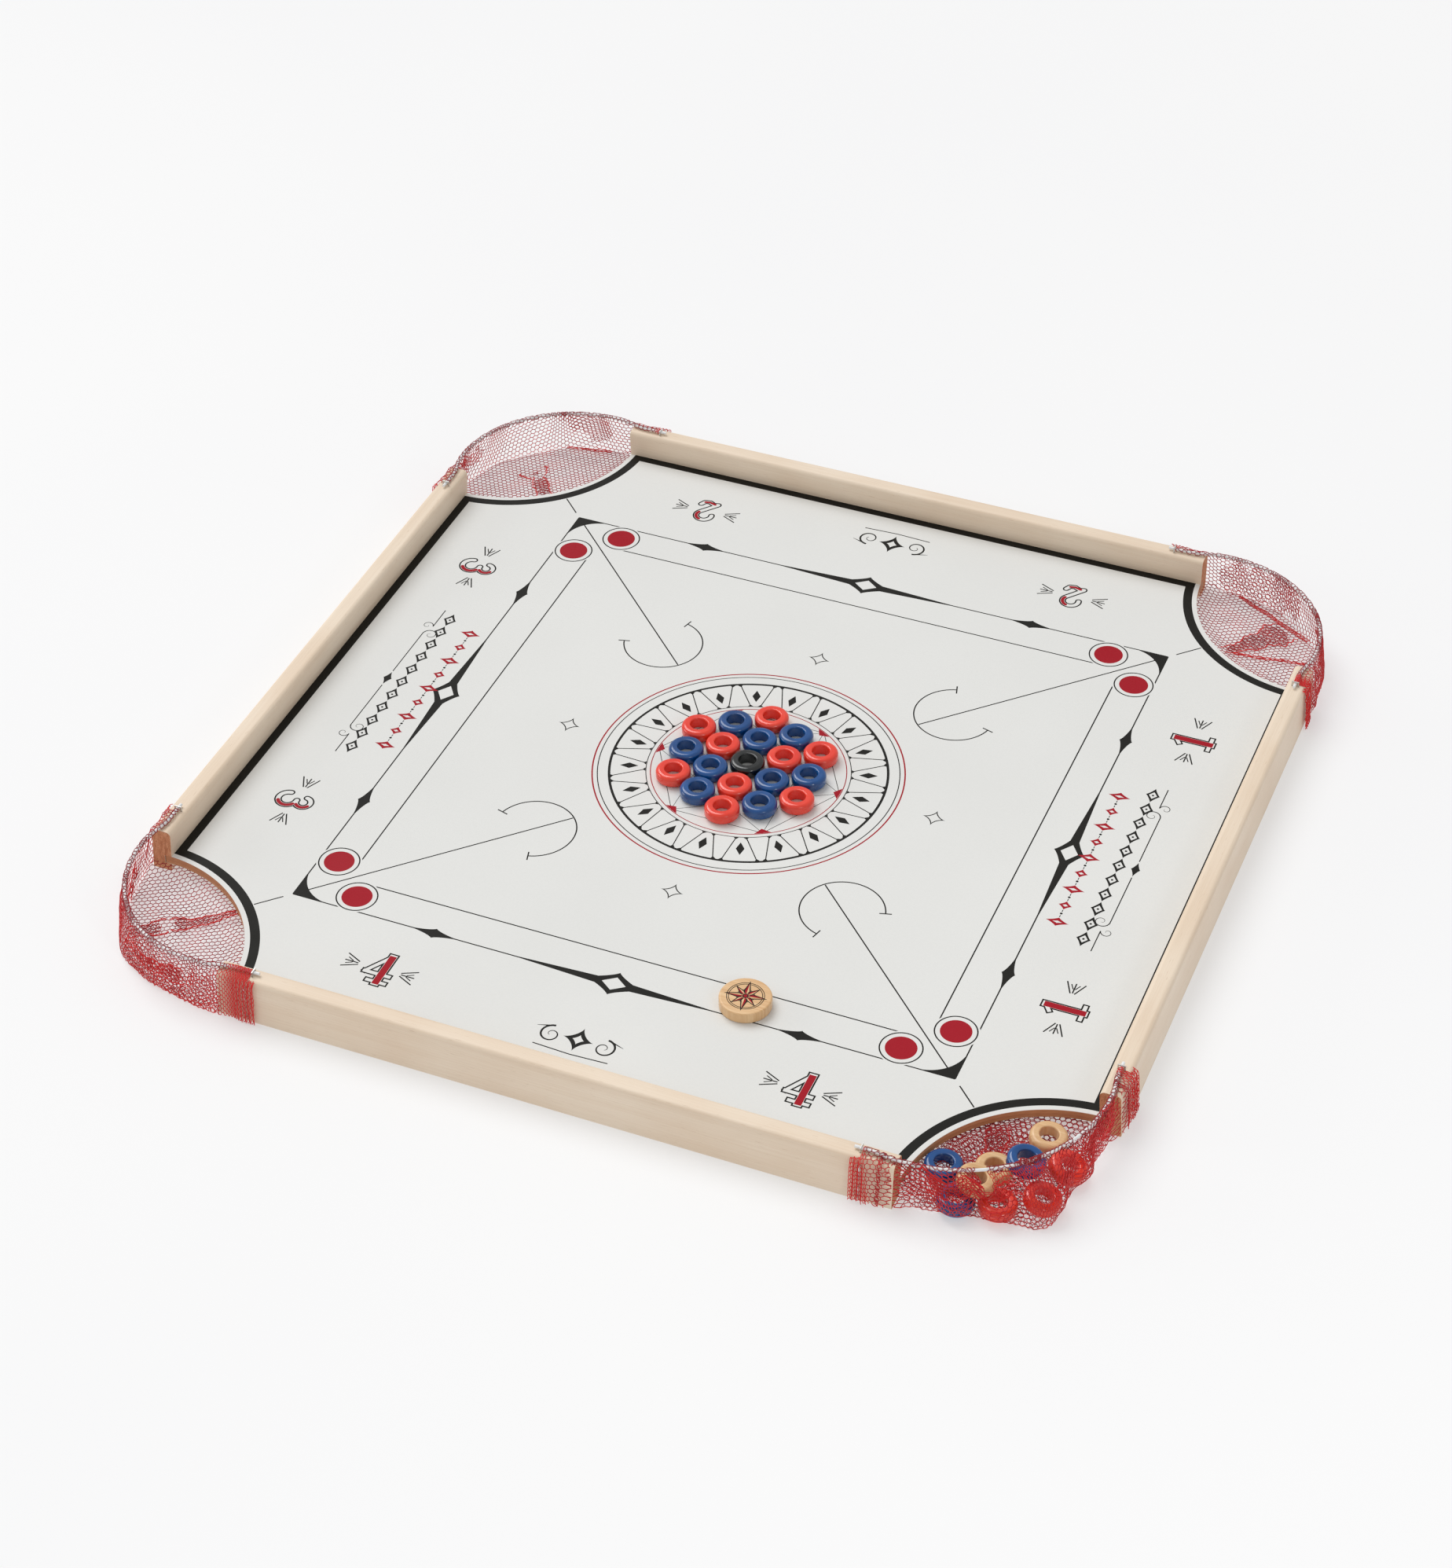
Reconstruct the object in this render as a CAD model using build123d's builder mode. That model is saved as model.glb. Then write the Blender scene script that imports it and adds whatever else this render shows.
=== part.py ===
"""A pocket carrom board: a printed plywood panel held in four hardwood rails, a net pocket at
each open corner, a full set of ring pieces and one striker disc.

Units are millimetres and +Z is up. The origin is on the table under the board's centre. The
front rail lies along -Y and the right rail along +X.
"""

import os
from math import cos, radians, sin, sqrt

from build123d import *

os.makedirs("parts", exist_ok=True)

# Frame
board_width = 711.0  # across the outer faces of two opposite rails, at the table
rail_length = 480.0
rail_width = 14.6
rail_height = 35.0
rail_lean = 0.07  # the rails lean inward by this much per millimetre of height
rail_round = 3.5
rail_foot_round = 0.8

# Panel
panel_width = 690.0  # its edges stand in grooves in the rails
panel_thickness = 6.35
panel_bottom = 6.5
print_thickness = 0.15  # the printed sheet that is glued all over the panel
corner_cut_radius = 105.5
groove_play = 0.5

# Net pockets, each drawn in the quadrant where x and y are both positive
net_gauge = 0.8
net_bottom = 0.3
net_gap = 0.7  # between the net's side and the rail's outer face
net_end = 213.0  # where the gathered ends of the net stop, along the rails
net_inner = 338.0  # the side stands outside a square of this half width, and the lip inside it
lip_room = net_inner - net_end
hem_end = 221.0
hem_bottom = 0.06  # above the rails' top
hem_gauge = 0.44
hem_inner = 343.6
lip_radius = 107.2
lip_width = 8.0

# Rim cords
cord_radius = 1.1
cord_height = 1.9  # the cord's centre above the rails' top
cord_line = 345.5  # where the cord lies on the rails, from the board's centre
cord_end = 211.0

# Staples
staple_wire = 0.8
staple_leg = 6.0
under_staple_leg = 4.5
staple_slot_play = 0.15
staple_pin_place = 215.5  # along the rail, for the staples over the cord's ends

# Pieces
ring_diameter = 25.4
ring_hole = 12.7
ring_height = 9.0
ring_round = 3.0
ring_hole_round = 1.0
ring_pitch = 27.1
ring_turn = 32.6  # the laid-out rows, turned from the front rail
ring_centre = (-1.6, 1.4)
striker_diameter = 36.0
striker_height = 8.5
striker_round = 1.2
striker_place = (90.0, -229.0)
rest_gap = 0.02

half_board = board_width / 2
panel_top = panel_bottom + panel_thickness
board_top = panel_top + print_thickness
half_panel = panel_width / 2
half_rail = rail_length / 2

quadrants = {"back_right": 0, "back_left": 90, "front_left": 180, "front_right": 270}
sides = {"right": 0, "back": 90, "left": 180, "front": 270}

# Each pocket's shape: the corner radius of the net's foot, of its mouth and of its rim cord, how
# far out the cord swings, and how high the net's side stays as wide as its foot.
empty_pocket = {"foot": 108.0, "mouth": 94.0, "cord": 92.0, "swing": 350.0, "full_to": 2.0}
full_pocket = {"foot": 78.0, "mouth": 110.0, "cord": 105.0, "swing": 347.5, "full_to": 27.0}
pocket_shapes = {name: empty_pocket for name in quadrants} | {"front_right": full_pocket}


def rail_face(outward):
    """The vertical plane across a rail: its x points outward and its y up."""
    return Plane(
        origin=(0, 0, 0),
        x_dir=(cos(radians(outward)), sin(radians(outward)), 0),
        z_dir=(sin(radians(outward)), -cos(radians(outward)), 0),
    )


def outer_face(height):
    """How far out a rail's leaning outer face is, at a height above the table."""
    return half_board - rail_lean * height


def save(builder, name):
    builder.part.label = name
    export_step(builder.part, f"parts/{name}.step")


def cord_staple_places(outward):
    """The staples over the two cord ends on one rail, as planes that look up from its top."""
    across = rail_face(outward)
    for along in (-staple_pin_place, staple_pin_place):
        origin = across.from_local_coords((cord_line, rail_height, along))
        yield Plane(origin=origin, x_dir=across.x_dir, z_dir=(0, 0, 1))


def side_staple_places(outward):
    """The staples through the net's gathered ends, as planes that look out of the rail."""
    across = rail_face(outward)
    for along in (-218.0, 218.0):
        for height in (9.0, 25.0):
            origin = across.from_local_coords((outer_face(height), height, along))
            yield Plane(origin=origin, x_dir=(0, 0, 1), z_dir=across.x_dir)


def under_staple_places(turn):
    """The staples that hold a net under the panel, as planes that look down from it."""
    for angle in (200.0, 225.0, 250.0):
        out = radians(angle + turn)
        corner = radians(45 + turn)
        reach = lip_radius + lip_width / 2
        origin = (
            sqrt(2) * half_panel * cos(corner) + reach * cos(out),
            sqrt(2) * half_panel * sin(corner) + reach * sin(out),
            panel_bottom,
        )
        yield Plane(origin=origin, x_dir=(-sin(out), cos(out), 0), z_dir=(0, 0, -1))


def staple(place, crown, lift, leg=staple_leg):
    """Adds one staple to the current part: crown wide, its wire's top lift above the surface."""
    # This sketch's own y is opposite to the way the staple looks, so up to the crown is -y.
    with BuildSketch(Plane(origin=place.origin, x_dir=place.x_dir, z_dir=place.y_dir)) as shape:
        with Locations((0, (leg - lift) / 2)):
            Rectangle(crown, leg + lift)
        with Locations((0, (leg - lift) / 2 + staple_wire)):
            Rectangle(crown - 2 * staple_wire, leg + lift, mode=Mode.SUBTRACT)
    extrude(shape.sketch, amount=staple_wire / 2, both=True)


def leg_slots(place, crown, depth):
    """Cuts a staple's two leg slots into the current part, from above the surface down."""
    slot = staple_wire + 2 * staple_slot_play
    with BuildSketch(place.offset(3)) as pair:
        with Locations((-(crown - staple_wire) / 2, 0), ((crown - staple_wire) / 2, 0)):
            Rectangle(slot, slot)
    extrude(pair.sketch, amount=-(depth + 3), mode=Mode.SUBTRACT)


cord_crown = 5.4
side_crown = 10.0
under_crown = 8.0

# Panel: a square with a quarter circle cut out of each corner, and a printed sheet on top
with BuildPart() as playing_panel:
    with BuildSketch(Plane.XY.offset(panel_bottom)) as board_outline:
        Rectangle(panel_width, panel_width)
        with GridLocations(panel_width, panel_width, 2, 2):
            Circle(corner_cut_radius, mode=Mode.SUBTRACT)
    extrude(amount=panel_thickness)
    for turn in quadrants.values():
        for place in under_staple_places(turn):
            leg_slots(place, under_crown, under_staple_leg + 0.3)
save(playing_panel, "playing_panel")

with BuildPart() as printed_sheet:
    with BuildSketch(Plane.XY.offset(panel_top)):
        add(board_outline.sketch_local)
    extrude(amount=print_thickness)
save(printed_sheet, "printed_sheet")

# Rails: a leaning profile with rounded top edges and a groove for the panel
for side, outward in sides.items():
    shift = rail_lean * rail_height
    with BuildPart() as rail:
        with BuildSketch(rail_face(outward)) as profile:
            Polygon(
                (half_board - rail_width, 0),
                (half_board, 0),
                (half_board - shift, rail_height),
                (half_board - rail_width - shift, rail_height),
                align=None,
            )
            fillet(profile.vertices().group_by(Axis.Y)[-1], rail_round)
            fillet(profile.vertices().group_by(Axis.Y)[0], rail_foot_round)
        extrude(amount=half_rail, both=True)
        with BuildSketch(rail_face(outward)):
            with Locations((half_panel + groove_play, panel_bottom)):
                Rectangle(30, board_top - panel_bottom, align=(Align.MAX, Align.MIN))
        extrude(amount=half_rail, both=True, mode=Mode.SUBTRACT)
        for place in cord_staple_places(outward):
            leg_slots(place, cord_crown, staple_leg + 0.3)
        for place in side_staple_places(outward):
            leg_slots(place, side_crown, staple_leg + 0.3)
    save(rail, f"rail_{side}")

# Rim cords: each runs from its end on one rail, over the open corner, to its end on the next
for name, turn in quadrants.items():
    pocket = pocket_shapes[name]
    swing = pocket["swing"]
    bend = swing - pocket["cord"] - 8
    start = bend - 4 * (swing - cord_line)
    level = Plane.XY.rotated((0, 0, turn)).offset(rail_height + cord_height)
    with BuildPart() as cord:
        with BuildLine(level) as route:
            FilletPolyline(
                (cord_line, cord_end),
                (cord_line, start),
                (swing, bend),
                (swing, swing),
                (bend, swing),
                (start, cord_line),
                (cord_end, cord_line),
                radius=[50, 50, pocket["cord"], 50, 50],
            )
        with BuildSketch(Plane(origin=route.line @ 0, z_dir=route.line % 0)):
            Circle(cord_radius)
        sweep(path=route.line)
    save(cord, f"rim_cord_{name}")

# Nets: a floor and a side round each open corner, a lip under the panel, and a hem on the rails
for name, turn in quadrants.items():
    pocket = pocket_shapes[name]
    level = Plane.XY.rotated((0, 0, turn))
    net_foot = 2 * (half_board + net_gap)
    net_mouth = 2 * (outer_face(rail_height) + net_gap)
    top = rail_height + hem_bottom + hem_gauge
    with BuildPart() as net:
        # The side, widest at the foot and drawn in to the mouth
        for grow, floor, mode in ((net_gauge, 0, Mode.ADD), (0, net_gauge, Mode.SUBTRACT)):
            with BuildSketch(level.offset(net_bottom + floor)):
                RectangleRounded(net_foot + 2 * grow, net_foot + 2 * grow, pocket["foot"] + grow)
            with BuildSketch(level.offset(pocket["full_to"])):
                slope = (pocket["full_to"] - net_bottom) / (rail_height - net_bottom)
                width = net_foot + slope * (net_mouth - net_foot) + 2 * grow
                RectangleRounded(width, width, pocket["foot"] + grow)
            loft(mode=mode)
            with BuildSketch(level.offset(pocket["full_to"])):
                RectangleRounded(width, width, pocket["foot"] + grow)
            with BuildSketch(level.offset(top)):
                RectangleRounded(net_mouth + 2 * grow, net_mouth + 2 * grow, pocket["mouth"] + grow)
            loft(mode=mode)
        # The hem, folded in under the cord
        with BuildSketch(level.offset(top - hem_gauge)):
            outline = net_mouth + net_gauge
            RectangleRounded(outline, outline, pocket["mouth"] + net_gauge / 2)
            hem_radius = pocket["cord"] + hem_inner - pocket["swing"]
            RectangleRounded(2 * hem_inner, 2 * hem_inner, hem_radius, mode=Mode.SUBTRACT)
        extrude(amount=hem_gauge)
        # Only what belongs to this corner is kept
        with BuildSketch(level):
            with Locations((net_end, net_end)):
                Rectangle(200, 200, align=Align.MIN)
            Rectangle(2 * net_inner, 2 * net_inner, mode=Mode.SUBTRACT)
            with Locations((half_panel, half_panel)):
                Circle(lip_radius + net_gauge)
        extrude(amount=rail_height + 5, mode=Mode.INTERSECT)
        # The lip that rises to the panel and turns under it
        with BuildSketch(level.offset(net_bottom)):
            with Locations((half_panel, half_panel)):
                Circle(lip_radius + net_gauge)
                Circle(lip_radius, mode=Mode.SUBTRACT)
            with Locations((net_end, net_end)):
                Rectangle(lip_room, lip_room, align=Align.MIN, mode=Mode.INTERSECT)
        extrude(amount=panel_bottom - net_bottom - 0.3)
        with BuildSketch(level.offset(panel_bottom - 0.3 - 0.5)):
            with Locations((half_panel, half_panel)):
                Circle(lip_radius + lip_width)
                Circle(lip_radius, mode=Mode.SUBTRACT)
            with Locations((net_end, net_end)):
                Rectangle(lip_room, lip_room, align=Align.MIN, mode=Mode.INTERSECT)
        extrude(amount=0.5)
        # Room for the two rails and the panel
        for outward in (turn, turn + 90):
            with BuildSketch(rail_face(outward)):
                Polygon(
                    (half_board - rail_width - 0.4, -1),
                    (half_board + 0.4, -1),
                    (half_board + 0.4 - rail_lean * rail_height, rail_height + hem_bottom),
                    (half_board - rail_width - 3.0, rail_height + hem_bottom),
                    align=None,
                )
            extrude(amount=half_rail + 0.4, both=True, mode=Mode.SUBTRACT)
            with BuildSketch(rail_face(outward)):
                with Locations((hem_inner - 6, rail_height)):
                    Rectangle(16, 8, align=Align.MIN)
            extrude(amount=hem_end, both=True, mode=Mode.SUBTRACT)
            for place in side_staple_places(outward):
                leg_slots(place, side_crown, 0)
        for place in under_staple_places(turn):
            leg_slots(place, under_crown, 0)
    save(net, f"net_{name}")

# Staples: over the cords' ends, through the nets' gathered ends, and under the panel
with BuildPart() as cord_staples:
    for outward in sides.values():
        for place in cord_staple_places(outward):
            staple(place, cord_crown, cord_height + cord_radius + staple_wire + 0.05)
save(cord_staples, "cord_staples")

with BuildPart() as side_staples:
    for outward in sides.values():
        for place in side_staple_places(outward):
            staple(place, side_crown, net_gap + net_gauge + staple_wire + 0.5)
save(side_staples, "side_staples")

with BuildPart() as under_staples:
    for turn in quadrants.values():
        for place in under_staple_places(turn):
            staple(place, under_crown, 0.3 + 0.5 + staple_wire + 0.1, under_staple_leg)
save(under_staples, "under_staples")


def ring(place):
    """Adds one ring piece to the current part, standing on the place's own plane."""
    with BuildSketch(Plane(origin=place.origin, x_dir=place.x_dir, z_dir=-place.y_dir)) as section:
        with Locations(((ring_diameter + ring_hole) / 4, ring_height / 2)):
            Rectangle((ring_diameter - ring_hole) / 2, ring_height)
        fillet(section.vertices().group_by(Axis.X)[-1], ring_round)
        fillet(section.vertices().group_by(Axis.X)[0], ring_hole_round)
    revolve(section.sketch, axis=Axis(place.origin, place.z_dir))


# Rings on the board, in rows of three, four, five, four and three round the black one
rows = ["RBR", "BRBB", "RBKRR", "BRBB", "RBR"]
colours = {"R": "red", "B": "blue"}
count = {"R": 0, "B": 0}
surface = board_top + rest_gap
for row, letters in enumerate(rows):
    for column, letter in enumerate(letters):
        across = (column - (len(letters) - 1) / 2) * ring_pitch
        away = (2 - row) * ring_pitch * sqrt(3) / 2
        turn = radians(ring_turn)
        x = ring_centre[0] + across * cos(turn) - away * sin(turn)
        y = ring_centre[1] + across * sin(turn) + away * cos(turn)
        with BuildPart() as piece:
            ring(Plane(origin=(x, y, surface)))
        if letter == "K":
            save(piece, "ring_black")
        else:
            count[letter] += 1
            save(piece, f"ring_{colours[letter]}_{count[letter]}")

# Rings that have dropped into the front right net: name, place, the height of what each one rests
# on, and how far and which way it leans
net_floor = net_bottom + net_gauge + 0.1
in_the_net = [
    ("wood_1", (314.0, -264.5), net_floor, 4, 200),
    ("wood_2", (290.5, -303.5), net_floor, 3, 90),
    ("wood_3", (286.0, -327.5), 11.6, 9, 250),
    ("red_1", (334.0, -287.0), net_floor, 18, 180),
    ("red_2", (327.5, -318.5), net_floor, 15, 135),
    ("red_3", (302.5, -332.0), net_floor, 3, 60),
    ("blue_1", (259.5, -312.5), net_floor, 2, 0),
    ("blue_2", (310.5, -302.0), 13.5, 10, 150),
    ("blue_3", (276.5, -338.0), net_floor, 5, 80),
]
for name, spot, base, lean, toward in in_the_net:
    tip = radians(lean)
    reach = ring_diameter / 2 - ring_round
    rise = reach * sin(tip) + (ring_height / 2 - ring_round) * cos(tip) + ring_round
    centre = Plane(origin=(*spot, base + rise)).rotated((0, 0, toward)).rotated((0, lean, 0))
    with BuildPart() as piece:
        ring(centre.offset(-ring_height / 2))
    save(piece, f"net_ring_{name}")

# Striker
with BuildPart() as striker:
    with BuildSketch(Plane.XY.offset(surface)):
        with Locations(striker_place):
            Circle(striker_diameter / 2)
    extrude(amount=striker_height)
    fillet(striker.edges().filter_by(GeomType.CIRCLE), striker_round)
save(striker, "striker")
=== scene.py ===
"""Looks for the pocket carrom board: printed sheet, varnished wood, mesh nets, plastic rings.

Lengths in this file are millimetres until mm() turns them into Blender's metres, except that the
floor and the lamps are given in metres. The frame is the CAD model's: the origin is on the table
under the board's centre, and +Z is up.
"""

import math

import bpy
import numpy as np
from mathutils import Matrix, Vector
from mathutils.geometry import delaunay_2d_cdt
from mathutils.noise import noise


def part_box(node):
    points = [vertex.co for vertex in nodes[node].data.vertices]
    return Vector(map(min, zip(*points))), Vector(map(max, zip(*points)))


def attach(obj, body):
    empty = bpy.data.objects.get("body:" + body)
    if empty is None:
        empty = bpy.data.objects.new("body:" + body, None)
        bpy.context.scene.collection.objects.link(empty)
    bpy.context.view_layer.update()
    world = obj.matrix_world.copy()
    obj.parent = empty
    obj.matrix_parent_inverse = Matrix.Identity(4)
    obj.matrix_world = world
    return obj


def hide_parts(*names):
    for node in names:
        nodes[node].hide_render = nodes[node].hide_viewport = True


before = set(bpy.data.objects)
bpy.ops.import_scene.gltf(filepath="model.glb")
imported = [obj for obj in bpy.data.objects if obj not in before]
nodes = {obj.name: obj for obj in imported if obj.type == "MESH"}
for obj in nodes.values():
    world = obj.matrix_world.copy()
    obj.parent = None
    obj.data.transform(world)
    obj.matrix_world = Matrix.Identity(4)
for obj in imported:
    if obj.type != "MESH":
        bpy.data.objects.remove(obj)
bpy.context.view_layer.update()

# The board, as the CAD model has it
half_panel = 345.0
cut_radius = 105.5
board_top = 13.0
sheet_bottom = 12.85
half_board = 355.5
rail_height = 35.0
rail_lean = 0.07
half_rail = 240.0
cord_line = 345.5
cord_end = 211.0
cord_height = 36.9
striker_place = (90.0, -229.0)
striker_top = 21.52
badge_depth = 0.08

# The print: lengths are shares of the printed square's half width
print_unit = 242.63
band_inner = 333.2
lip_radius = 109.2
band_radius = 116.0
border_line = 1.0  # its width, in millimetres

turns = {"back_right": 0, "back_left": 90, "front_left": 180, "front_right": 270}


def mm(*values):
    """A point in millimetres, in metres."""
    return Vector([value / 1000 for value in values])


def srgb(red, green, blue):
    """A colour of 0 to 255 display values, as linear RGBA."""
    linear = []
    for value in (red, green, blue):
        share = value / 255
        linear.append(share / 12.92 if share <= 0.04045 else ((share + 0.055) / 1.055) ** 2.4)
    return (*linear, 1.0)


# -------- materials


class Shader:
    """One material and short ways to add nodes to it."""

    def __init__(self, name, roughness=0.5, specular=0.5):
        self.material = bpy.data.materials.new(name)
        self.material.use_nodes = True
        self.tree = self.material.node_tree
        self.surface = self.tree.nodes["Principled BSDF"]
        self.set("Roughness", roughness)
        self.set("Specular IOR Level", specular)
        self.place = self.add("ShaderNodeTexCoord").outputs["Object"]

    def add(self, kind, **settings):
        node = self.tree.nodes.new(kind)
        for key, value in settings.items():
            setattr(node, key, value)
        return node

    def link(self, source, target):
        self.tree.links.new(source, target)

    def noise(self, x, y, z, detail, distortion=0.0):
        """Smooth noise with a grain of that many millimetres along each axis."""
        mapping = self.add("ShaderNodeMapping")
        mapping.inputs["Scale"].default_value = (1000 / x, 1000 / y, 1000 / z)
        self.link(self.place, mapping.inputs["Vector"])
        node = self.add("ShaderNodeTexNoise")
        node.inputs["Scale"].default_value = 1.0
        node.inputs["Detail"].default_value = detail
        node.inputs["Distortion"].default_value = distortion
        self.link(mapping.outputs["Vector"], node.inputs["Vector"])
        return node.outputs["Fac"]

    def ramp(self, value, *stops):
        """Greys or colours along a value: each stop is (place, grey) or (place, red, green, blue)."""
        node = self.add("ShaderNodeValToRGB")
        elements = node.color_ramp.elements
        while len(elements) < len(stops):
            elements.new(0.5)
        for element, (where, *tone) in zip(elements, stops):
            element.position = where
            element.color = srgb(*tone) if len(tone) == 3 else (*tone, *tone, *tone, 1)
        self.link(value, node.inputs["Fac"])
        return node.outputs["Color"]

    def mix(self, share, first, second):
        """Mixes two colours; each is a socket or a colour, and share a socket or a number."""
        node = self.add("ShaderNodeMix", data_type="RGBA")
        for index, value in ((0, share), (6, first), (7, second)):
            self.feed(node.inputs[index], value)
        return node.outputs[2]

    def feed(self, socket, value):
        """Links a value that is a socket, and sets one that isn't."""
        if isinstance(value, bpy.types.NodeSocket):
            self.link(value, socket)
        else:
            socket.default_value = value

    def set(self, name, value):
        """Feeds one of the surface's own inputs."""
        self.feed(self.surface.inputs[name], value)

    def bump(self, height, strength, distance):
        """Raises the surface by up to distance millimetres."""
        node = self.add("ShaderNodeBump")
        node.inputs["Strength"].default_value = strength
        node.inputs["Distance"].default_value = distance / 1000
        self.link(height, node.inputs["Height"])
        self.set("Normal", node.outputs["Normal"])


def rail_wood(along):
    """Pale close-grained hardwood, with its grain along X or Y and darker end grain."""
    look = Shader(f"rail_wood_{along}", 0.42, 0.4)

    def grain(length, width):
        return (length, width, width) if along == "x" else (width, length, width)

    bands = look.noise(*grain(420, 9), 3, 0.6)
    fibres = look.noise(*grain(60, 0.9), 4, 0.2)
    pores = look.noise(*grain(9, 0.45), 2)
    cloud = look.noise(90, 90, 40, 2)
    wood = look.ramp(bands, (0.28, 222, 197, 170), (0.5, 234, 214, 190), (0.72, 241, 224, 203))
    wood = look.mix(0.35, wood, look.ramp(fibres, (0.3, 219, 193, 165), (0.65, 243, 228, 208)))
    wood = look.mix(0.5, wood, look.ramp(cloud, (0.35, 228, 204, 178), (0.65, 240, 223, 202)))
    wood = look.mix(look.ramp(pores, (0.24, 0.45), (0.34, 0.0)), wood, srgb(183, 149, 114))
    rings = look.noise(2.2, 2.2, 9, 4, 1.5)
    vessels = look.noise(0.7, 0.7, 0.9, 2)
    end = look.ramp(rings, (0.3, 190, 126, 86), (0.5, 212, 152, 110), (0.7, 228, 176, 134))
    end = look.mix(look.ramp(vessels, (0.3, 0.7), (0.5, 0.0)), end, srgb(158, 98, 64))
    normal = look.add("ShaderNodeSeparateXYZ")
    look.link(look.add("ShaderNodeTexCoord").outputs["Normal"], normal.inputs[0])
    facing = look.add("ShaderNodeMath", operation="ABSOLUTE")
    look.link(normal.outputs[0 if along == "x" else 1], facing.inputs[0])
    is_end = look.ramp(facing.outputs[0], (0.8, 0.0), (0.9, 1.0))
    look.set("Base Color", look.mix(is_end, wood, end))
    polish = look.mix(is_end, fibres, (1, 1, 1, 1))
    look.set("Roughness", look.ramp(polish, (0.3, 0.36), (0.7, 0.5), (1.0, 0.8)))
    look.bump(look.mix(is_end, fibres, vessels), 0.25, 0.15)
    return look.material


def plywood():
    """Tan plywood edges: plies in layers, with short streaks along each."""
    look = Shader("plywood", 0.62, 0.3)
    plies = look.noise(400, 400, 0.9, 1)
    streaks = look.noise(5, 5, 0.25, 4)
    wood = look.ramp(plies, (0.3, 176, 118, 80), (0.5, 204, 148, 104), (0.7, 214, 165, 122))
    wood = look.mix(0.35, wood, look.ramp(streaks, (0.3, 160, 102, 66), (0.7, 220, 172, 128)))
    look.set("Base Color", wood)
    look.bump(streaks, 0.4, 0.2)
    return look.material


def printed(name, dark, light, roughness):
    """One colour of the printed sheet, with faint mottling and lacquer that isn't quite even."""
    look = Shader(name, roughness, 0.14)
    cloud = look.noise(160, 160, 160, 3)
    speck = look.noise(1.4, 1.4, 1.4, 3)
    clouded = look.ramp(cloud, (0.3, *dark), (0.7, *light))
    speckled = look.ramp(speck, (0.35, *dark), (0.6, *light))
    look.set("Base Color", look.mix(0.3, clouded, speckled))
    smears = look.noise(35, 35, 35, 3)
    look.set("Roughness", look.ramp(smears, (0.3, roughness - 0.05), (0.7, roughness + 0.07)))
    look.bump(speck, 0.12, 0.03)
    return look.material


def glossy(name, deep, full, roughness):
    """Moulded glossy plastic: nearly even colour, slight ripples and a few finger marks."""
    look = Shader(name, roughness, 0.55)
    cloud = look.noise(14, 14, 14, 2)
    marks = look.noise(5, 7, 5, 4, 0.8)
    look.set("Base Color", look.ramp(cloud, (0.3, *deep), (0.65, *full)))
    look.set("Roughness", look.ramp(marks, (0.4, roughness), (0.75, roughness + 0.14)))
    look.bump(cloud, 0.3, 0.12)
    look.set("Coat Weight", 0.35)
    look.set("Coat Roughness", 0.08)
    return look.material


def turned_wood():
    """Lacquered light wood of the striker and the plain rings."""
    look = Shader("light_wood", 0.36, 0.45)
    bands = look.noise(60, 3.5, 60, 3, 0.8)
    fibres = look.noise(18, 0.5, 18, 3)
    wood = look.ramp(bands, (0.3, 214, 166, 112), (0.55, 231, 190, 140), (0.75, 238, 204, 158))
    wood = look.mix(0.3, wood, look.ramp(fibres, (0.3, 205, 156, 104), (0.7, 240, 206, 160)))
    look.set("Base Color", wood)
    look.bump(fibres, 0.2, 0.08)
    look.set("Coat Weight", 0.25)
    look.set("Coat Roughness", 0.15)
    return look.material


def net_thread():
    """Fine red thread, mixed between a dark copy of its colour as painted shade and a bright copy as
    painted light, by how lit and how bunched each point is.
    """
    look = Shader("red_net", 0.62, 0.25)
    lit_and_gathered = look.add("ShaderNodeAttribute", attribute_name="lit_and_gathered").outputs["Fac"]
    twist = look.noise(0.5, 0.5, 0.5, 2)
    # Painted shade and light: a dark copy and a bright copy of the thread's red
    shaded_single = look.ramp(twist, (0.3, 124, 10, 24), (0.7, 178, 24, 36))
    bunched = look.ramp(twist, (0.3, 204, 16, 22), (0.7, 240, 40, 36))
    look.set("Base Color", look.mix(lit_and_gathered, shaded_single, bunched))
    look.set("Sheen Weight", 0.2)
    look.bump(twist, 0.4, 0.1)
    return look.material


paper = printed("paper_white", (226, 226, 223), (231, 231, 228), 0.45)
black_ink = printed("ink_black", (22, 21, 18), (30, 29, 25), 0.5)
crimson_ink = printed("ink_crimson", (160, 8, 28), (168, 16, 36), 0.5)
grain_x = rail_wood("x")
grain_y = rail_wood("y")
ply = plywood()
light_wood = turned_wood()
thread = net_thread()
ring_materials = {
    "red": glossy("red_plastic", (232, 52, 34), (241, 66, 44), 0.13),
    "blue": glossy("blue_plastic", (0, 62, 122), (4, 80, 148), 0.13),
    "black": glossy("black_plastic", (14, 17, 18), (26, 29, 30), 0.13),
    "wood": light_wood,
}


def paint(node, material):
    nodes[node].data.materials.clear()
    nodes[node].data.materials.append(material)


for name in nodes:
    if name.startswith("rail_"):
        paint(name, grain_x if name in ("rail_front", "rail_back") else grain_y)
    elif name.startswith("rim_cord_"):
        paint(name, bpy.data.materials["clear_cord"])
    elif name.endswith("_staples"):
        paint(name, bpy.data.materials["staple_wire"])
    elif name.startswith(("ring_", "net_ring_")):
        paint(name, next(material for colour, material in ring_materials.items() if colour in name))
paint("playing_panel", ply)
paint("striker", light_wood)


# -------- the print


def turned(points, degrees):
    """Points turned about the board's centre."""
    c, s = math.cos(math.radians(degrees)), math.sin(math.radians(degrees))
    return [(c * x - s * y, s * x + c * y) for x, y in points]


def moved(points, x, y, degrees=0.0):
    """Points turned about the origin and then moved there."""
    return [(x + px, y + py) for px, py in turned(points, degrees)]


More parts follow.
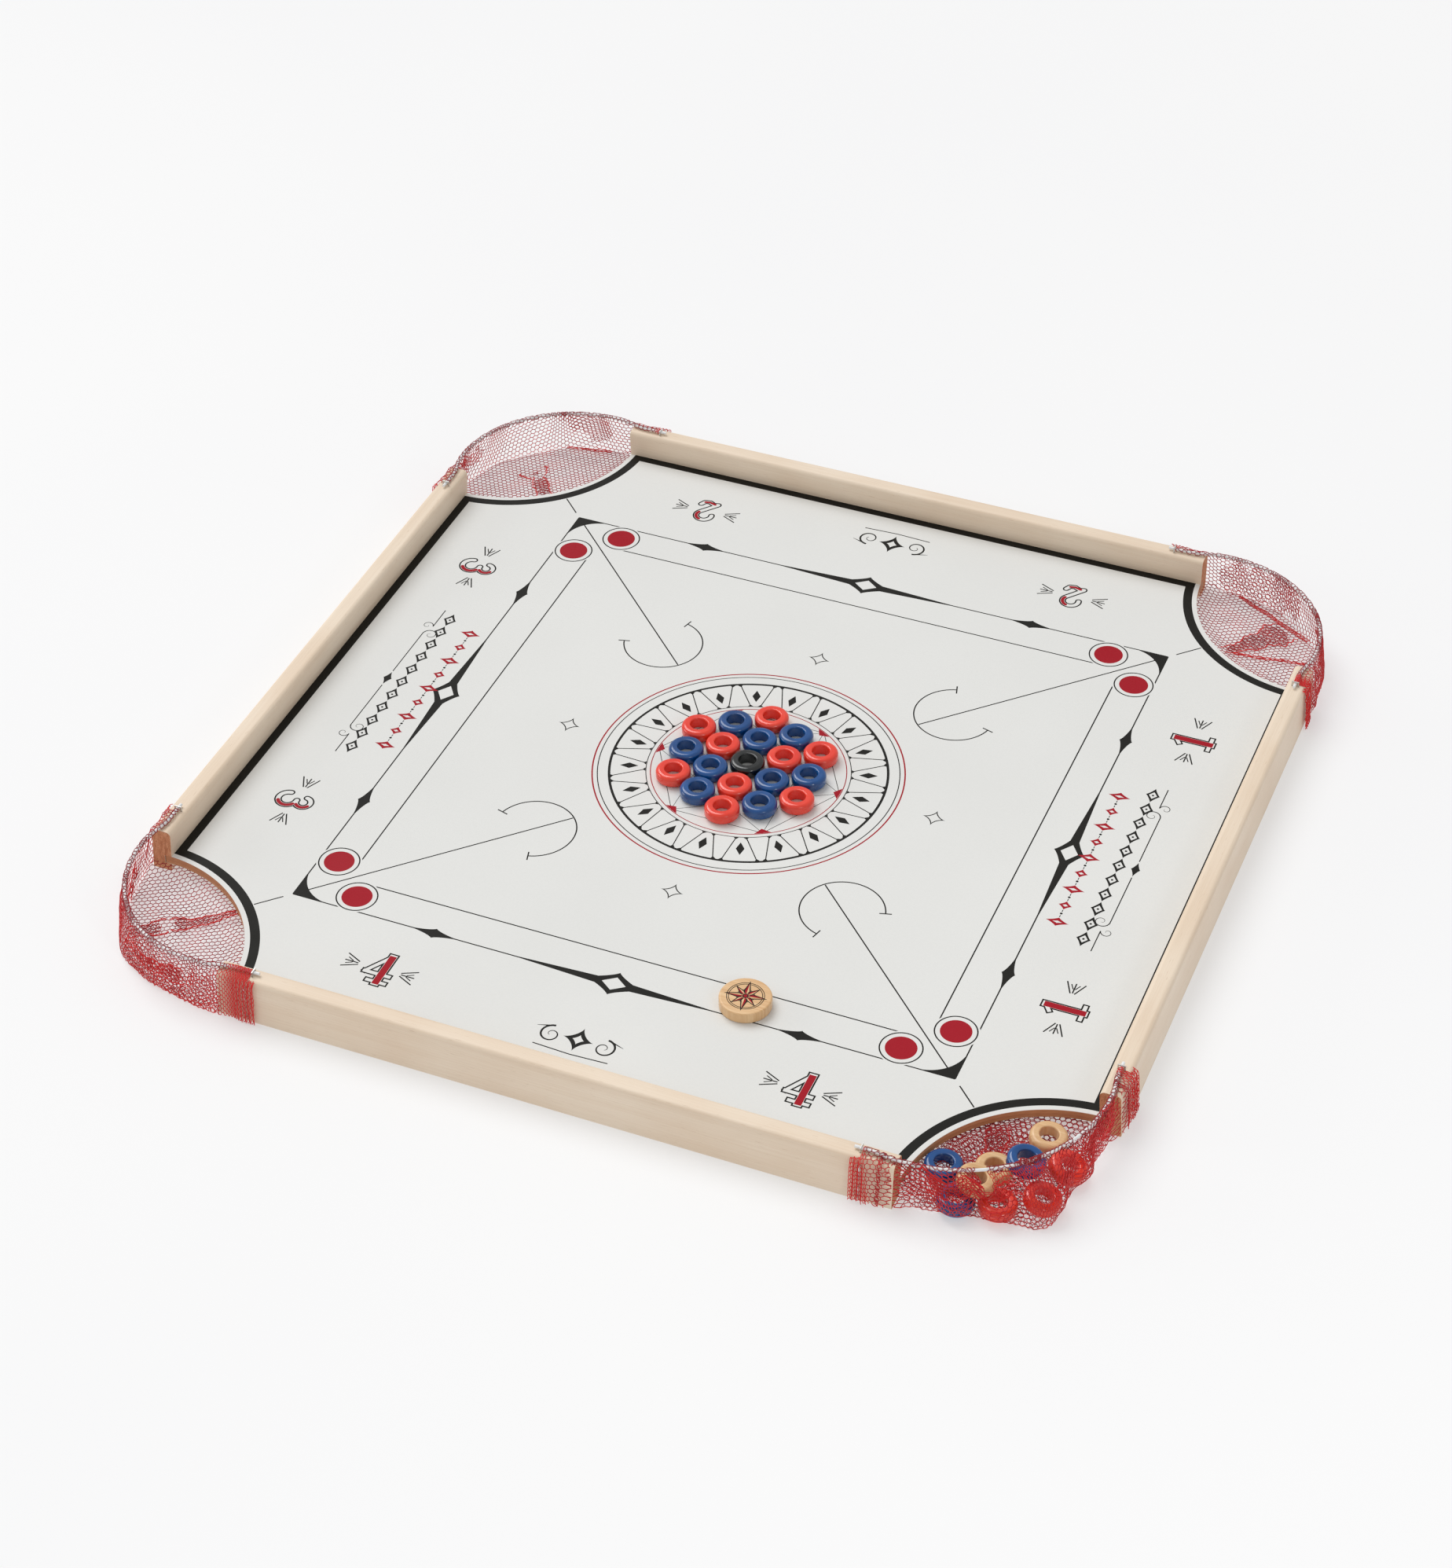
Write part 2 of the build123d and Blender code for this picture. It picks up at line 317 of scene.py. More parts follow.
def polar(radius, degrees):
    """The point at that distance and angle from the origin."""
    angle = math.radians(degrees)
    return radius * math.cos(angle), radius * math.sin(angle)


def disc(radius, x=0.0, y=0.0, count=96):
    steps = [2 * math.pi * k / count for k in range(count)]
    return [(x + radius * math.cos(t), y + radius * math.sin(t)) for t in steps]


def arc_points(radius, first, last, count=48):
    return [polar(radius, first + (last - first) * k / count) for k in range(count + 1)]


def stroke(points, width, taper=False):
    """The outline of an open line of that width, or one that tapers to its last point."""
    left, right = [], []
    for k, (x, y) in enumerate(points):
        before, after = points[max(k - 1, 0)], points[min(k + 1, len(points) - 1)]
        dx, dy = after[0] - before[0], after[1] - before[1]
        long = math.hypot(dx, dy)
        half = width / 2 * (1 - 0.8 * k / (len(points) - 1) if taper else 1)
        left.append((x - dy / long * half, y + dx / long * half))
        right.append((x + dy / long * half, y - dx / long * half))
    return left + right[::-1]


def star(along, across, power, count=14):
    """A four-pointed shape with hollow sides: the smaller the power, the hollower."""
    points = []
    for k in range(4 * count):
        t = math.pi / 2 * k / count
        c, s = math.cos(t), math.sin(t)
        x = math.copysign(abs(c) ** (2 / power), c) * along
        y = math.copysign(abs(s) ** (2 / power), s) * across
        points.append((x, y))
    return points


def spiral(radius, turns_round, x, y, start, way=1):
    """A scroll that winds in from its start angle to its own centre."""
    points = []
    count = int(24 * turns_round)
    for k in range(count + 1):
        share = k / count
        angle = math.radians(start) + way * 2 * math.pi * turns_round * share
        reach = radius * (1 - 0.85 * share)
        points.append((x + reach * math.cos(angle), y + reach * math.sin(angle)))
    return points


def board_outline(half, radius):
    """A square of that half width with a circle of that radius taken out of each panel corner."""
    slip = math.degrees(math.asin((half_panel - half) / radius))
    corner = moved(arc_points(radius, 270 - slip, 180 + slip, 40), half_panel, half_panel)
    return [point for turn in (0, 90, 180, 270) for point in turned(corner, turn)]


def turns_left(points):
    """Whether a closed outline runs anticlockwise."""
    return sum(x0 * y1 - x1 * y0 for (x0, y0), (x1, y1) in zip(points, points[1:] + points[:1])) > 0


class Print:
    """Layers of flat colour, each painted over the ones before it."""

    def __init__(self):
        self.layers = []

    def add(self, colour, points):
        self.layers.append((colour, points))

    def ring(self, colour, radius, width, ground="white", x=0.0, y=0.0, count=128):
        self.add(colour, disc(radius + width / 2, x, y, count))
        self.add(ground, disc(radius - width / 2, x, y, count))

    def line(self, colour, points, width, taper=False):
        self.add(colour, stroke(points, width, taper))

    def stamp(self, other, degrees, x=0.0, y=0.0):
        """Adds another print's layers, turned and moved."""
        for colour, points in other.layers:
            self.add(colour, moved(points, x, y, degrees))

    def mesh(self, name, bottom, top, materials):
        """A closed layer of the print from bottom to top; a colour that has no material is left out."""
        points, faces = [], []
        for _, outline in self.layers:
            faces.append(list(range(len(points), len(points) + len(outline))))
            points.extend(outline if turns_left(outline) else outline[::-1])
        points = [Vector(point) for point in points]
        flat, _, triangles, _, _, origins = delaunay_2d_cdt(points, [], faces, 1, 1e-4, True)
        colours = list(materials)
        kept, tags = [], []
        for triangle, origin in zip(triangles, origins):
            if origin:
                colour = self.layers[max(origin)][0]
                if colour in materials:
                    kept.append(triangle)
                    tags.append(colours.index(colour))
        # Only the points that a kept triangle uses
        used = sorted({index for triangle in kept for index in triangle})
        place = {index: k for k, index in enumerate(used)}
        kept = [[place[index] for index in triangle] for triangle in kept]
        flat = [flat[index] for index in used]
        count = len(flat)
        vertices = [mm(p.x, p.y, top) for p in flat] + [mm(p.x, p.y, bottom) for p in flat]
        walls, wall_tags = [], []
        edges = {}
        for triangle, tag in zip(kept, tags):
            for first, second in zip(triangle, triangle[1:] + triangle[:1]):
                edges[(first, second)] = tag
        for (first, second), tag in edges.items():
            if (second, first) not in edges:
                walls.append([second, first, first + count, second + count])
                wall_tags.append(tag)
        under = [[index + count for index in reversed(triangle)] for triangle in kept]
        mesh = bpy.data.meshes.new(name)
        mesh.from_pydata(vertices, [], kept + under + walls)
        mesh.polygons.foreach_set("material_index", tags + tags + wall_tags)
        for material in materials.values():
            mesh.materials.append(material)
        printed_layer = bpy.data.objects.new(name, mesh)
        bpy.context.scene.collection.objects.link(printed_layer)
        return printed_layer


def units(points):
    return [(x * print_unit, y * print_unit) for x, y in points]


# Digits as strokes about their own centre, in millimetres: (points, half width), and the strokes
# whose middle is filled with crimson
digits = {
    1: {
        "lines": [
            ([(0, 13), (0, -13)], 3.2), ([(-1, 12.6), (-5.6, 9.4)], 1.9),
            ([(-6.4, -12.4), (6.4, -12.4)], 1.9),
        ],
        "fill": [([(0, 12.0), (0, -12.2)], 2.5)],
    },
    2: {
        "lines": [
            (moved(arc_points(6.2, 195, -35, 20), -0.4, 6) + [(-6, -10.6)], 2.1),
            ([(-6, -11), (-2.5, -10), (1.5, -12.2), (5.4, -11.4), (7.4, -7.6)], 2.1),
        ],
        "fill": [
            (moved(arc_points(6.2, 70, -30, 12), -0.4, 6), 1.3),
            ([(-3.4, -10.6), (1.5, -12.0), (5.0, -11.2)], 1.2),
        ],
    },
    3: {
        "lines": [
            (moved(arc_points(5.4, 175, -90, 20), 0, 6.6), 2.1),
            (moved(arc_points(7.0, 95, -175, 24), 0, -5.8), 2.2),
        ],
        "fill": [
            (moved(arc_points(5.4, 60, -50, 12), 0, 6.6), 1.3),
            (moved(arc_points(7.0, 55, -60, 12), 0, -5.8), 1.4),
        ],
    },
    4: {
        "lines": [
            ([(2.4, 12.6), (-8.4, -4.6)], 1.9), ([(-8.6, -5.0), (9.2, -5.0)], 2.0),
            ([(3.4, 13.0), (3.4, -13.0)], 3.3), ([(-3.2, -12.4), (9.4, -12.4)], 1.9),
        ],
        "fill": [([(3.4, 12.0), (3.4, -12.2)], 2.5)],
    },
}


# The fan of rays on each side of a digit: (rise at the far end, near end, far end, width)
rays = [
    (6.6, 15.5, 26.5, 1.0), (0.0, 16.0, 26.0, 1.0), (-6.6, 15.5, 26.5, 1.0),
    (3.1, 20.0, 24.6, 0.8), (-3.1, 20.0, 24.6, 0.8),
]


def capped(points, half, square):
    """Every run of a line as a long shape, with square ends or round ones."""
    for (x0, y0), (x1, y1) in zip(points, points[1:]):
        angle = math.degrees(math.atan2(y1 - y0, x1 - x0))
        reach, spread, count = (half * math.sqrt(2), 45, 1) if square else (half, 90, 7)
        far = moved(arc_points(reach, angle - spread, angle + spread, count), x1, y1)
        near = moved(arc_points(reach, angle + 180 - spread, angle + 180 + spread, count), x0, y0)
        yield far + near


def digit_print(digit):
    """One outlined digit with crimson inside, and a fan of rays on each side of it."""
    page = Print()
    square = digit in (1, 4)
    for colour, grow in (("black", 0.6), ("white", -0.55)):
        for points, half in digits[digit]["lines"]:
            for shape in capped(points, half + grow, square):
                page.add(colour, shape)
    for points, half in digits[digit]["fill"]:
        for shape in capped(points, half, square):
            page.add("crimson", shape)
    for side in (-1, 1):
        for rise, near, far, width in rays:
            page.line("black", [(side * near, rise * 0.22), (side * far, rise)], width)
    return page


def border_side():
    """One side of the square that the baselines make, with half a corner's round at its left end."""
    page = Print()
    horn_radius = 0.115
    for level, half in ((-1.0, 1.0), (-0.884, 0.8249)):
        page.line("black", units([(-half, level), (half, level)]), border_line)
    for place, long, wide, power in (
        (0.0, 0.095, 0.047, 0.8),
        (0.0, 0.33, 0.0165, 1.0),
        (-0.553, 0.085, 0.0205, 0.7),
        (0.553, 0.085, 0.0205, 0.7),
    ):
        page.add("black", units(moved(star(long, wide, power), place, -1.0)))
    page.add("white", units(moved(star(0.036, 0.0263, 1.0, 2), 0.0, -1.0)))
    horn = [(-1.0, -1.0), (-1.0 + horn_radius * 1.15, -1.0)]
    horn += moved(arc_points(horn_radius, 268, 182, 24), -1 + horn_radius, -1 + horn_radius)
    horn += [(-1.0, -1.0 + horn_radius * 1.15)]
    page.add("black", units(horn))
    return page


def border_corner():
    """The two circles at a corner, its diagonal with a hook round the inner end, and a spark."""
    page = Print()
    hook_ends = (164.5, -74.5)
    hook_centre = (-0.48, -0.48)
    for x, y in units([(0.9418, 0.8249), (0.8249, 0.9418)]):
        page.add("white", disc(0.0665 * print_unit, x, y))
        page.ring("black", 0.0592 * print_unit, 1.0, "white", x, y, 96)
        page.add("crimson", disc(0.0445 * print_unit, x, y))
    for near, far in ((0.967, 0.395), (1.02, 1.082)):
        page.line("black", units([(-near, -near), (-far, -far)]), border_line)
    page.line("black", units(moved(arc_points(0.123, *hook_ends), *hook_centre)), border_line)
    for angle in hook_ends:
        tick = moved([polar(0.105, angle), polar(0.141, angle)], *hook_centre)
        page.line("black", units(tick), border_line)
    for colour, size, power in (("black", 0.036, 0.62), ("white", 0.0245, 0.72)):
        page.add(colour, units(moved(star(size, size, power), 0.0, -0.585)))
    return page


def lozenge_part():
    """A twentieth of the centre's band: a lozenge between two spokes with wedges at their ends."""
    page = Print()
    page.add("black", units(moved(star(0.028, 0.0128, 1.0, 2), 0.357, 0.0)))
    for side in (-1, 1):
        page.line("black", units([polar(0.307, side * 2.7), polar(0.4125, side * 7.3)]), 0.8)
        for radius, first, last, tip_radius, tip in (
            (0.412, 6.4, 8.6, 0.402, 7.05),
            (0.3075, 1.2, 4.2, 0.3165, 2.95),
        ):
            wedge = arc_points(radius, side * first, side * last, 4) + [polar(tip_radius, side * tip)]
            page.add("black", units(wedge))
    return page


def draw_centre(page):
    """The centre rings, the band between them, and a six-sided star."""
    page.ring("crimson", 0.466 * print_unit, 1.1)
    page.ring("black", 0.4505 * print_unit, 0.75)
    page.ring("black", 0.4155 * print_unit, 1.9)
    page.ring("black", 0.306 * print_unit, 0.62)
    page.ring("crimson", 0.2925 * print_unit, 0.7)
    for turn in range(0, 360, 18):
        page.stamp(lozenge_part(), turn)
    for angle in range(0, 360, 60):
        corner = polar(0.289, angle)
        page.line("black", units([corner, polar(0.289, angle + 60)]), 0.5)
        page.line("black", units([corner, polar(0.289, angle + 120)]), 0.4)
    for angle in range(0, 360, 60):
        page.add("crimson", units(arc_points(0.2905, angle - 5, angle + 5, 4) + [polar(0.270, angle)]))


def side_ornament():
    """A plain ornament along one side: a scrolled line, a chain of lozenges and a row of sparks."""
    page = Print()
    outer, middle, inner = -291.0, -279.0, -257.0
    for side in (-1, 1):
        page.line("black", [(side * 9, outer), (side * 60, outer)], 0.8)
        page.line("black", spiral(6.0, 1.25, side * 60, outer + 6.0, 270, side), 0.9, True)
        page.line("black", spiral(4.6, 1.1, side * 70, outer - 1.0, 90, -side), 0.8, True)
        page.line("black", [(side * 70, outer + 3.6), (side * 92, outer + 3.6)], 0.8)
    page.add("black", moved(star(8.0, 3.4, 0.8), 0, outer))
    for k in range(-5, 6):
        along = 16.4 * k
        page.add("black", moved(star(8.0, 5.2, 0.85), along, middle))
        page.add("white", moved(star(3.9, 3.0, 1.0, 2), along, middle))
        page.add("black", disc(0.9, along, middle, 16))
    for k in range(-4, 5):
        along = 18.0 * k
        height = 8.4 if k % 2 == 0 else 5.0
        page.add("crimson", moved(star(4.6, height, 0.8), along, inner))
        page.add("white", moved(star(1.3, height * 0.42, 0.9), along, inner))
        if k < 4:
            page.add("black", disc(1.0, along + 9, inner, 16))
            for near, far in ((5.0, 7.2), (10.8, 13.0)):
                page.line("black", [(along + near, inner), (along + far, inner)], 0.6)
    return page


def end_ornament():
    """A short ornament in the middle of one side: a spark between two scrolls."""
    page = Print()
    level = -301.0
    page.add("black", moved(star(11.0, 11.5, 0.66), 0, level))
    page.add("white", moved(star(4.2, 4.6, 0.8), 0, level))
    for side in (-1, 1):
        page.line("black", spiral(8.4, 1.4, side * 19, level - 1.5, 90, -side), 1.7, True)
        page.line("black", [(side * 19, level + 6.9), (side * 31, level + 3.2)], 1.6, True)
    page.line("black", [(-27, level - 13.4), (0, level - 14.6), (27, level - 13.4)], 0.9)
    return page


page = Print()
page.add("white", board_outline(half_panel, cut_radius))
page.add("black", board_outline(half_panel - 2.0, lip_radius))
page.add("white", board_outline(band_inner, band_radius))
for part in (border_side(), border_corner()):
    for turn in (0, 90, 180, 270):
        page.stamp(part, turn)
draw_centre(page)
for digit, turn in ((4, 0), (1, 90), (2, 180), (3, 270)):
    pair = Print()
    for x in (-152.5, 152.5):
        pair.stamp(digit_print(digit), 0, x, -288.5)
    page.stamp(pair, turn)
for ornament, first in ((side_ornament(), 90), (end_ornament(), 0)):
    page.stamp(ornament, first)
    page.stamp(ornament, first + 180)
sheet_inks = {"white": paper, "black": black_ink, "crimson": crimson_ink}
printed_top = page.mesh("printed_top", sheet_bottom, board_top, sheet_inks)
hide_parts("printed_sheet")
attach(printed_top, "board")

# The striker's print: a star of eight split points over two thin circles
badge = Print()
for radius in (12.7, 11.4):
    badge.ring("black", radius, 0.45, "none")
badge.ring("black", 6.2, 0.35, "none")
for k in range(8):
    long, wide = (14.7, 2.5) if k % 2 == 0 else (12.2, 1.9)
    point = Print()
    for colour, grow, tip in (("black", 1.0, long), ("none", 0.62, long - 2.2)):
        point.add(colour, [(1.2, 0), (4.6, wide * grow), (tip, 0), (4.6, -wide * grow)])
    point.add("crimson", [(1.2, 0), (4.6, wide * 0.6), (long - 2.2, 0)])
    badge.stamp(point, 45 * k + 8)
badge.add("black", disc(2.0, count=24))
badge.add("crimson", disc(1.3, count=24))
placed_badge = Print()
placed_badge.stamp(badge, 0, *striker_place)
badge_inks = {"black": black_ink, "crimson": crimson_ink}
striker_print = placed_badge.mesh("striker_print", striker_top, striker_top + badge_depth, badge_inks)
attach(striker_print, "striker")

# -------- the nets

cell = 3.8  # across a mesh cell, side to side
thread_width = 0.39
thread_depth = 0.38
hem_reach = 1.8  # the hem's radius round the cord
rail_fold = 1.0  # how far the net stands off a rail's outer face
side_steps = 26
hem_steps = 10
wall_rows = 321
step = 0.5  # between stations up the wall
ring_lift = 8.0  # how far the rings in the net can rise
net_rest = 0.6  # how high the net runs above the table where it lies on it
panel_lift = 5.2  # how much higher the net is where it meets the panel's underside
ring_room = 15.3  # from a ring's centre to a wall that it pushes out
bare_cord = 216.5  # where the net starts at the cord's ends, which stay clear

# Each net lies flat on the table as it was cut and its edge is turned up to the rim cord, so its flat
# cut is drawn on the plan of the board's corner. Each is in its own quadrant. The rim cord has a corner
# of radius cord, and reaches out to swing. The net's outline on the table has the corners outline, the
# middle one with radius round. The rings in the net push its wall out if it has a bulge. Its two ends
# are bunched: dense up to the first length, loose past the second, by how much. The reds set how bright
# the wall's and the floor's thread is drawn, as painted light and shade, with bunching adding to it: a
# high red paints it lit, a low one shaded, so the floors' low reds paint the shade in the pockets. A
# pleat is a strip: its two ends and the half width at each. Where the net lies doubled, its other layer
# is given in the same way. Past the outline both are on the wall.
plain_pocket = {"cord": 92.0, "swing": 350.0, "bulge": 0.0}
back_pocket = {
    **plain_pocket,
    "round": 60,
    "outline": [(356.3, cord_end), (355.6, 268.0), (345.0, 304.0), (324.6, 324.6)],
    "wall_lit_red": 0.5,
}
# The floor reds are set low as painted shade on the thread of each pocket's floor
pockets = {
    "front_left": {
        **plain_pocket,
        "round": 34,
        "outline": [(356.3, cord_end), (356.3, 258.0), (347.0, 298.0), (331.0, 331.0)],
        "bunches": ((2, 12, 1.2), (9, 32, 3.4)),
        "wall_lit_red": 0.6,
        "floor_lit_red": 0.12,
        "pleats": [
            (271, 265, 314, 294, 1.2, 6.5), (314, 294, 338, 312, 6.5, 4.0), (326, 356, 270, 376, 2.0, 7.0),
            (352, 280, 372, 262, 2.0, 6.0),
        ],
        "doubled": [(340, 346, 232, 374, 14.0, 18.0)],
    },
    "back_left": {
        **back_pocket,
        "bunches": ((4, 14, 2.6), (2, 10, 1.2)),
        "floor_lit_red": 0.12,
        "pleats": [
            (272, 286, 298, 304, 6.5, 5.0), (296, 303, 304, 312, 5.0, 14.0), (345, 300, 352, 262, 0.8, 1.2),
        ],
        "doubled": [(376, 330, 374, 260, 6.0, 17.0), (300, 368, 236, 376, 6.0, 14.0)],
    },
    "back_right": {
        **back_pocket,
        "bunches": ((10, 20, 3.2), (4, 10, 1.4)),
        "floor_lit_red": 0.15,
        "pleats": [
            (276, 277, 317, 323, 3.0, 14.5), (284, 279, 342, 286, 0.8, 1.0), (333, 316, 268, 352, 1.4, 0.8),
        ],
        "doubled": [(374, 226, 362, 336, 17.0, 17.0), (342, 350, 246, 374, 17.0, 17.0)],
    },
    "front_right": {
        "cord": 105.0,
        "swing": 347.5,
        "bulge": 3.0,
        "round": 14,
        "outline": [(356.3, cord_end), (349.5, 252.0), (341.0, 300.0), (338.0, 338.0)],
        "bunches": ((11, 17, 2.8), (8, 26, 2.6)),
        "wall_lit_red": 0.6,
        "floor_lit_red": 0.08,
        "pleats": [
            (262, 281, 292, 284, 6.0, 7.0), (368, 326, 376, 266, 3.0, 9.0), (334, 362, 262, 380, 2.0, 9.0),
        ],
        "doubled": [
            (262, 262, 336, 322, 30.0, 40.0), (346, 244, 252, 304, 24.0, 28.0),
            (306, 250, 246, 346, 28.0, 24.0), (370, 336, 374, 240, 14.0, 17.0),
            (330, 366, 246, 376, 14.0, 17.0),
        ],
    },
}


def smooth(low, high, value):
    """0 below low, 1 above high and a smooth step between them."""
    share = np.clip((value - low) / (high - low), 0, 1)
    return share * share * (3 - 2 * share)


def rounded_route(corners, radii):
    """A route in the plane whose corners are arcs, turning left, or right where a radius is negative."""
    route = [np.array(corners[0], float)]
    for before, corner, after, radius in zip(corners, corners[1:], corners[2:], radii):
        before, corner, after = (np.array(p, float) for p in (before, corner, after))
        came = (corner - before) / np.linalg.norm(corner - before)
        leaves = (after - corner) / np.linalg.norm(after - corner)
        bend = math.acos(float(np.clip(came @ leaves, -1, 1)))
        first = corner - came * abs(radius) * math.tan(bend / 2)
        inward = np.array([-came[1], came[0]]) * radius
        for turn in np.linspace(0, bend, max(3, int(bend * abs(radius)))):
            route.append(first + inward * (1 - math.cos(turn)) + came * abs(radius) * math.sin(turn))
    route.append(np.array(corners[-1], float))
    return np.array(route)


def mirrored(corners):
    """The corners, and the same ones in mirror image back from the last."""
    return corners + [(y, x) for x, y in reversed(corners[:-1])]


def along_route(route, distances):
    """Points at those distances along a route."""
    lengths = np.concatenate([[0], np.cumsum(np.linalg.norm(np.diff(route, axis=0), axis=1))])
    return np.stack([np.interp(distances, lengths, route[:, axis]) for axis in (0, 1)], 1)


def route_length(route):
    return float(np.linalg.norm(np.diff(route, axis=0), axis=1).sum())


def ways(route, distances):
    """The way along a route and the way out of it, at those distances."""
    along = along_route(route, distances + 0.5) - along_route(route, distances - 0.5)
    along /= np.linalg.norm(along, axis=1, keepdims=True)
    return along, np.stack([along[:, 1], -along[:, 0]], 1)


def cord_route(pocket):
    """The rim cord's centre line, as the CAD model has it."""
    swing, radius = pocket["swing"], pocket["cord"]
    bend = swing - radius - 8
    start = bend - 4 * (swing - cord_line)
    corners = mirrored([(cord_line, cord_end), (cord_line, start), (swing, bend), (swing, swing)])
    return rounded_route(corners, (-50, 50, radius, 50, -50))


def wavy(points, size, seed):
    """Smooth noise of about -1 to 1 at each point."""
    return np.array([noise(Vector((x / size + seed, y / size, z / size))) for x, y, z in points])


def pushed_out(grid, outward, amount, turn):
    """Moves the wall's points out past the rings that lie in the net, with room for their lift."""
    for name in nodes:
        if name.startswith("net_ring_"):
            low, high = (np.array(corner) * 1000 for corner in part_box(name))
            x, y, z = (low + high) / 2
            centre = np.array(turned([(x, y)], -turn)[0])
            tall = (high[2] - low[2]) / 2 + 2.0
            across = grid[:, :, :2] - centre
            ahead = (across * outward[:, None, :]).sum(axis=2)
            aside = np.linalg.norm(across - ahead[:, :, None] * outward[:, None, :], axis=2)
            above = grid[:, :, 2] - z
            level = np.clip(1 - ((above - np.clip(above, 0, ring_lift)) / tall) ** 2, 0, 1)
            wanted = np.sqrt(np.clip(ring_room**2 * np.sqrt(level) - aside**2, 0, None))
            push = np.where((ahead > -3) & (wanted > ahead), wanted - ahead, 0) * amount
            grid[:, :, :2] += outward[:, None, :] * push[:, :, None]


def over_rail(share):
    """How far out from the cord, and how high, the net is at shares of its way up over a rail."""
    top_out = half_board - rail_lean * rail_height - cord_line
    route = np.array([
        (half_board - cord_line + rail_fold, net_rest), (top_out + rail_fold, 31.0), (top_out + 0.3, 33.8),
        (top_out - 1.0, 35.1), (top_out - 3.5, 35.6), (2.0, 35.9),
    ])
    return along_route(route, share * route_length(route)).T


def hanging_line(start, end, outward, middle, bulge, share):
    """A free row of the wall, from the table to the hem; middle is 1 halfway round the pocket."""
    if bulge:
        first = np.array([*(start[:2] + outward * bulge * middle), 13.0])
        second = np.array([*(end[:2] * 0.4 + start[:2] * 0.6 + outward * 1.5), 33.0])
    else:
        first = start * 0.75 + end * 0.25 + np.array([*(outward * (3.0 * middle - 0.5)), -1.0])
        second = start * 0.2 + end * 0.8 + np.array([*(outward * (3.0 * middle - 1.0)), -3.0])
    u = share[:, None]
    return (1 - u) ** 3 * start + 3 * u * (1 - u) ** 2 * first + 3 * u**2 * (1 - u) * second + u**3 * end


def wall_form(pocket, turn, seed):
    """The net's outline on the table and its wall as a grid of points: one row for each place along
    the outline, and one column for each step from the table up to the rim cord and round it."""
    rim_route = cord_route(pocket)
    rim = route_length(rim_route)
    outline = rounded_route(mirrored(pocket["outline"]), (40, 40, pocket["round"], 40, 40))
    length = route_length(outline)
    places = np.linspace(0, length, wall_rows)
    foot = along_route(outline, places)
    on_rail = half_rail - cord_end
    rim_places = np.interp(places, [0, on_rail, length - on_rail, length], [0, on_rail, rim - on_rail, rim])
    spots = along_route(rim_route, rim_places)
    _, outward = ways(rim_route, rim_places)
    # How much of each row hangs free instead of lying on a rail
    free = smooth(on_rail - 3, on_rail + 12, places) * smooth(on_rail - 3, on_rail + 12, length - places)
    share = np.linspace(0, 1, side_steps, endpoint=False)
    out, height = over_rail(share)
    hem_angles = np.radians(np.linspace(-35, 245, hem_steps))
    hem_out = hem_reach * np.cos(hem_angles)
    hem_height = np.maximum(cord_height + hem_reach * np.sin(hem_angles), rail_height + 0.3)
    rows = []
    for k in range(wall_rows):
        hem = np.column_stack([spots[k] + outward[k] * hem_out[:, None], hem_height])
        face_out = np.array([1.0, 0.0]) if k < wall_rows / 2 else np.array([0.0, 1.0])
        held = np.column_stack([spots[k] + face_out * out[:, None], height])
        middle = math.sin(math.pi * k / (wall_rows - 1))
        start = np.array([*foot[k], net_rest])
        hung = hanging_line(start, hem[0], outward[k], middle, pocket["bulge"], share)
        rows.append(np.concatenate([held * (1 - free[k]) + hung * free[k], hem]))
    grid = np.array(rows)
    waves = wavy(grid.reshape(-1, 3), 19.0, seed).reshape(grid.shape[:2])
    ripples = wavy(grid.reshape(-1, 3), 7.0, seed + 40).reshape(grid.shape[:2])
    column = np.arange(grid.shape[1])
    inside = smooth(0, 5, column) * (1 - smooth(side_steps - 6, side_steps, column))
    on_side = inside[None, :] * free[:, None]
    if pocket["bulge"]:
        pushed_out(grid, outward, on_side, turn)
    # Where the ends are bunched the net stands in pleats, over the staples
    near = np.minimum(places, length - places)[:, None]
    ruffle = (1 - smooth(9, 20, near)) * (1 - smooth(side_steps - 5, side_steps, column))[None, :]
    ruffle = ruffle * (1.7 + 0.9 * np.sin(2.2 * near + 3.0 * waves) + 0.5 * ripples)
    grid[:, :, :2] += outward[:, None, :] * (ruffle + on_side * (1.3 * waves + 0.6 * ripples))[:, :, None]
    return outline, grid


